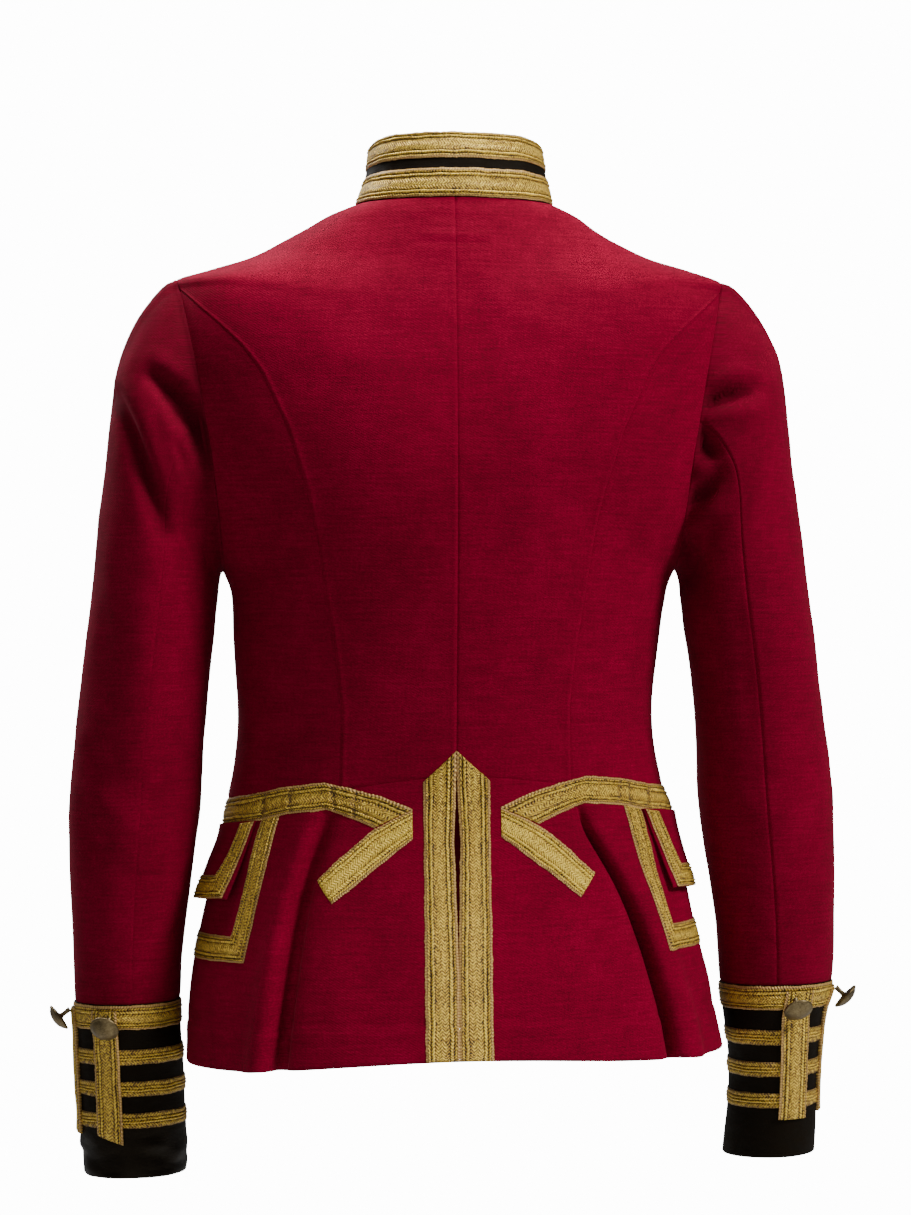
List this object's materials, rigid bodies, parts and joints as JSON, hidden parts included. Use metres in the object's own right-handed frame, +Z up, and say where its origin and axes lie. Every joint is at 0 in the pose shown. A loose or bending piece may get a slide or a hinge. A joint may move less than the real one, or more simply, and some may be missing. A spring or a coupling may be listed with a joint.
{
  "type": "military style jacket",
  "caption": "Fitted military style jacket, filled out as if worn: stand collar, vented peplum skirt, pocket flaps, buttoned cuffs and gold braid trim.",
  "frame": {"origin": "middle of the neck opening at the height of the nape seam, where the wearer's neck and shoulders hold the jacket up", "axes": "+Z up, +X to the wearer's left, -Y the way the wearer faces, so that the back of the jacket faces +Y"},
  "size_m": [0.5664, 0.2583, 0.7233],
  "materials": {
    "red_cloth": "crimson wool-like cloth with a fine twill weave, matt",
    "black_cloth": "black cloth with a short pile, matt",
    "gold_braid": "woven gold braid with cords along its edges",
    "antique_brass": "dull aged brass"
  },
  "bodies": {
    "root": {"back_left": "red_cloth", "back_right": "red_cloth", "side_back_left": "red_cloth", "side_back_right": "red_cloth", "front_left": "red_cloth", "front_right": "red_cloth", "skirt_back_left": "red_cloth", "skirt_back_right": "red_cloth", "skirt_front_left": "red_cloth", "skirt_front_right": "red_cloth", "upper_sleeve_left": "red_cloth", "upper_sleeve_right": "red_cloth", "under_sleeve_left": "red_cloth", "under_sleeve_right": "red_cloth", "pocket_flap_left": "red_cloth", "pocket_flap_right": "red_cloth", "collar": "black_cloth", "cuff_left": "black_cloth", "cuff_right": "black_cloth", "collar_braid_lower": "gold_braid", "collar_braid_upper": "gold_braid", "cuff_braid_left": "gold_braid", "cuff_braid_right": "gold_braid", "cuff_bar_1_left": "gold_braid", "cuff_bar_2_left": "gold_braid", "cuff_bar_3_left": "gold_braid", "cuff_bar_1_right": "gold_braid", "cuff_bar_2_right": "gold_braid", "cuff_bar_3_right": "gold_braid", "cuff_tab_back_left": "gold_braid", "cuff_tab_back_right": "gold_braid", "cuff_tab_outer_left": "gold_braid", "cuff_tab_outer_right": "gold_braid", "vent_braid_left": "gold_braid", "vent_braid_right": "gold_braid", "waist_braid_left": "gold_braid", "waist_braid_right": "gold_braid", "waist_braid_tail_left": "gold_braid", "waist_braid_tail_right": "gold_braid", "pocket_frame_left": "gold_braid", "pocket_frame_right": "gold_braid", "flap_braid_left": "gold_braid", "flap_braid_right": "gold_braid", "cuff_button_back_left": "antique_brass", "cuff_button_back_right": "antique_brass", "cuff_button_outer_left": "antique_brass", "cuff_button_outer_right": "antique_brass", "front_button_1": "antique_brass", "front_button_2": "antique_brass", "front_button_3": "antique_brass", "front_button_4": "antique_brass", "front_button_5": "antique_brass", "front_button_6": "antique_brass", "front_button_7": "antique_brass"}
  },
  "joints": []
}
